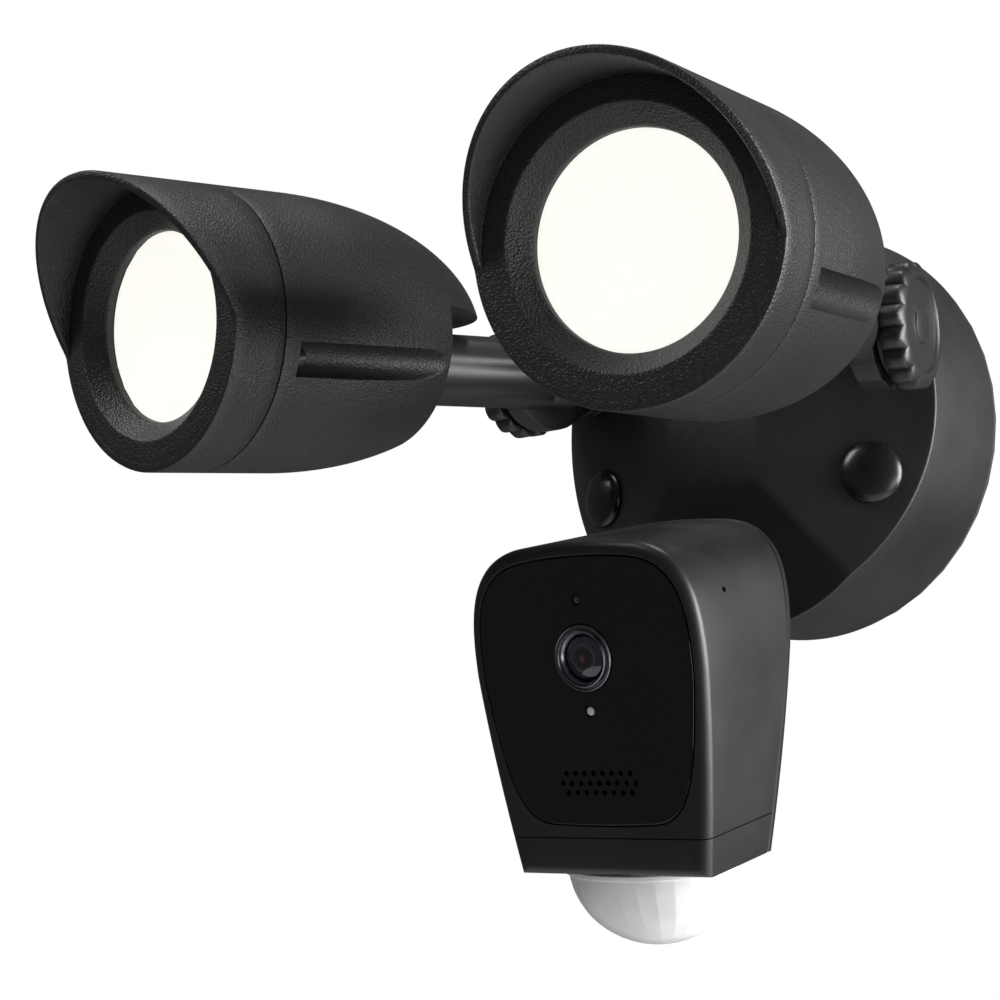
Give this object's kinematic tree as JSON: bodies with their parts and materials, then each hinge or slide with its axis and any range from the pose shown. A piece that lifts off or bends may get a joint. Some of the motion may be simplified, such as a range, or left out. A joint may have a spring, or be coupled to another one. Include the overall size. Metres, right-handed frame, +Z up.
{
  "type": "floodlight security camera",
  "caption": "Wall floodlight with a camera: bullet lamps on swivel arms on a round faceted canopy, and a tilting camera head with a motion sensor dome below.",
  "frame": {"origin": "centre of the canopy's wall face, on the wall plane", "axes": "+Z up, +Y into the wall, -Y out of the wall towards what the lamps and the camera look at, +X to the right of someone who faces the front"},
  "size_m": [0.2228, 0.2334, 0.2114],
  "materials": {
    "satin_black": "satin black",
    "grain_black": "black with a moulded leather grain",
    "gloss_black": "gloss black",
    "rubber": "matte black",
    "zinc": "zinc plated",
    "steel": "plain steel",
    "diffuser": "white diffusing, lit",
    "white_plastic": "satin white",
    "aluminium": "bare",
    "silver_ring": "satin grey",
    "dark_glass": "polished dark glass",
    "grey_plastic": "matte grey",
    "circuit_board": "green resist"
  },
  "bodies": {
    "canopy": {"canopy_cover": "satin_black", "canopy_gasket": "rubber", "mounting_plate": "zinc", "wire_grommet": "rubber", "light_driver": "white_plastic", "terminal_block": "grey_plastic", "canopy_screw_left": "steel", "canopy_screw_right": "steel", "screw_cap_left": "gloss_black", "screw_cap_right": "gloss_black", "left_arm_seal": "rubber", "right_arm_seal": "rubber", "camera_bracket": "satin_black", "bracket_nut": "zinc"},
    "left_arm": {"left_arm_base": "satin_black", "left_arm_nut": "zinc"},
    "left_lamp": {"left_lamp_arm": "satin_black", "left_tilt_bolt": "steel", "left_lamp_bezel": "grain_black", "left_lamp_shell": "grain_black", "left_lamp_gasket": "rubber", "left_lamp_lens": "diffuser", "left_lamp_reflector": "white_plastic", "left_led_board": "white_plastic", "left_heat_sink": "aluminium", "left_case_screw_inner": "satin_black", "left_case_screw_outer": "satin_black"},
    "left_tilt_knob": {"left_tilt_knob": "satin_black"},
    "right_arm": {"right_arm_base": "satin_black", "right_arm_nut": "zinc"},
    "right_lamp": {"right_lamp_arm": "satin_black", "right_tilt_bolt": "steel", "right_lamp_bezel": "grain_black", "right_lamp_shell": "grain_black", "right_lamp_gasket": "rubber", "right_lamp_lens": "diffuser", "right_lamp_reflector": "white_plastic", "right_led_board": "white_plastic", "right_heat_sink": "aluminium", "right_case_screw_inner": "satin_black", "right_case_screw_outer": "satin_black"},
    "right_tilt_knob": {"right_tilt_knob": "satin_black"},
    "camera_pan": {"pan_yoke": "satin_black", "pan_washer": "steel", "camera_hinge_pin": "steel"},
    "camera_hinge_knob": {"camera_hinge_knob": "satin_black"},
    "camera_head": {"camera_front_shell": "satin_black", "face_panel": "gloss_black", "lower_cover": "satin_black", "camera_back_cover": "satin_black", "lens_ring": "silver_ring", "lens_glass": "dark_glass", "lens_barrel": "satin_black", "light_sensor": "dark_glass", "status_light": "white_plastic", "speaker": "grey_plastic", "main_board": "circuit_board", "sensor_board": "circuit_board", "motion_sensor": "silver_ring", "sensor_dome": "white_plastic"}
  },
  "joints": [
    {"name": "left_swivel", "type": "hinge", "parent": "canopy", "child": "left_arm", "pos_m": [-0.0495, -0.04502, 0.0165], "axis": [-0.342, -0.9397, 0], "range_deg": [-90, 90]},
    {"name": "left_tilt", "type": "hinge", "parent": "left_arm", "child": "left_lamp", "pos_m": [-0.0528, -0.063, 0.0165], "axis": [0.9898, -0.1426, 0], "range_deg": [-45, 35]},
    {"name": "left_knob_turn", "type": "hinge", "parent": "left_arm", "child": "left_tilt_knob", "pos_m": [-0.0528, -0.063, 0.0165], "axis": [0.9898, -0.1426, 0], "range_deg": [0, 360]},
    {"name": "right_swivel", "type": "hinge", "parent": "canopy", "child": "right_arm", "pos_m": [0.0495, -0.04502, 0.0165], "axis": [0.342, -0.9397, 0], "range_deg": [-90, 90]},
    {"name": "right_tilt", "type": "hinge", "parent": "right_arm", "child": "right_lamp", "pos_m": [0.0528, -0.063, 0.0165], "axis": [0.9898, 0.1426, 0], "range_deg": [-45, 35]},
    {"name": "right_knob_turn", "type": "hinge", "parent": "right_arm", "child": "right_tilt_knob", "pos_m": [0.0528, -0.063, 0.0165], "axis": [0.9898, 0.1426, 0], "range_deg": [0, 360]},
    {"name": "camera_pan_turn", "type": "hinge", "parent": "canopy", "child": "camera_pan", "pos_m": [0, -0.063, -0.059], "axis": [0, 0, 1], "range_deg": [-25, 25]},
    {"name": "camera_tilt", "type": "hinge", "parent": "camera_pan", "child": "camera_head", "pos_m": [0, -0.063, -0.059], "axis": [1, 0, 0], "range_deg": [-15, 25]},
    {"name": "camera_knob_turn", "type": "hinge", "parent": "camera_pan", "child": "camera_hinge_knob", "pos_m": [0, -0.063, -0.059], "axis": [1, 0, 0], "range_deg": [0, 360]}
  ]
}
